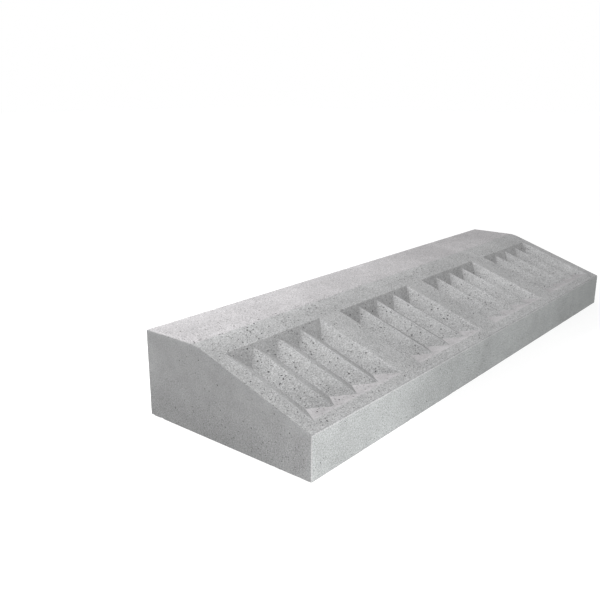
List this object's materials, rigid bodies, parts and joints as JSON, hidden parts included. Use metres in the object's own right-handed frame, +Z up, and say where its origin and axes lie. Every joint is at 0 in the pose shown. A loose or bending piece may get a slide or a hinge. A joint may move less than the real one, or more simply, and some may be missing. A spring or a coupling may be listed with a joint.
{
  "type": "mountable concrete separator kerb",
  "caption": "Low precast concrete traffic separator kerb with a flat back strip and a shallow slope cut with groups of V-shaped rumble grooves.",
  "frame": {"origin": "centre of the underside's outline", "axes": "+X along the unit, +Y towards the tall back face, +Z up"},
  "size_m": [2, 0.6, 0.26],
  "materials": {
    "concrete": "fair-faced cast concrete, matt, with fine mottling and small air holes",
    "marker_plastic": "moulded, plain",
    "plated_steel": "zinc plated, dull",
    "plug_plastic": "moulded, fine satin",
    "reinforcing_steel": "hot rolled bar with mill scale and light rust",
    "spacer_mortar": "extruded fibre mortar, matt",
    "spacer_plastic": "moulded, matt",
    "tie_wire": "annealed black wire"
  },
  "bodies": {
    "block": {"concrete_body": "concrete", "anchor_tail_left": "reinforcing_steel", "anchor_tail_right": "reinforcing_steel", "back_spacers": "spacer_plastic", "bottom_back_bar": "reinforcing_steel", "bottom_front_bar": "reinforcing_steel", "bottom_rear_bar": "reinforcing_steel", "crest_bar": "reinforcing_steel", "lifting_socket_left": "plated_steel", "lifting_socket_right": "plated_steel", "link_1": "reinforcing_steel", "link_2": "reinforcing_steel", "link_3": "reinforcing_steel", "link_4": "reinforcing_steel", "link_5": "reinforcing_steel", "link_6": "reinforcing_steel", "link_7": "reinforcing_steel", "link_8": "reinforcing_steel", "link_9": "reinforcing_steel", "slope_lower_bar": "reinforcing_steel", "slope_spacers": "spacer_mortar", "slope_upper_bar": "reinforcing_steel", "socket_ring_left": "marker_plastic", "socket_ring_right": "marker_plastic", "tie_wires": "tie_wire", "toe_bar": "reinforcing_steel", "top_back_bar": "reinforcing_steel", "top_spacers": "spacer_mortar"},
    "plug_left": {"socket_plug_left": "plug_plastic"},
    "plug_right": {"socket_plug_right": "plug_plastic"}
  },
  "joints": [
    {"name": "plug_left_pull", "type": "slide", "parent": "block", "child": "plug_left", "axis": [0, 1, 0], "range_m": [0, 0.08]},
    {"name": "plug_right_pull", "type": "slide", "parent": "block", "child": "plug_right", "axis": [0, 1, 0], "range_m": [0, 0.08]}
  ]
}
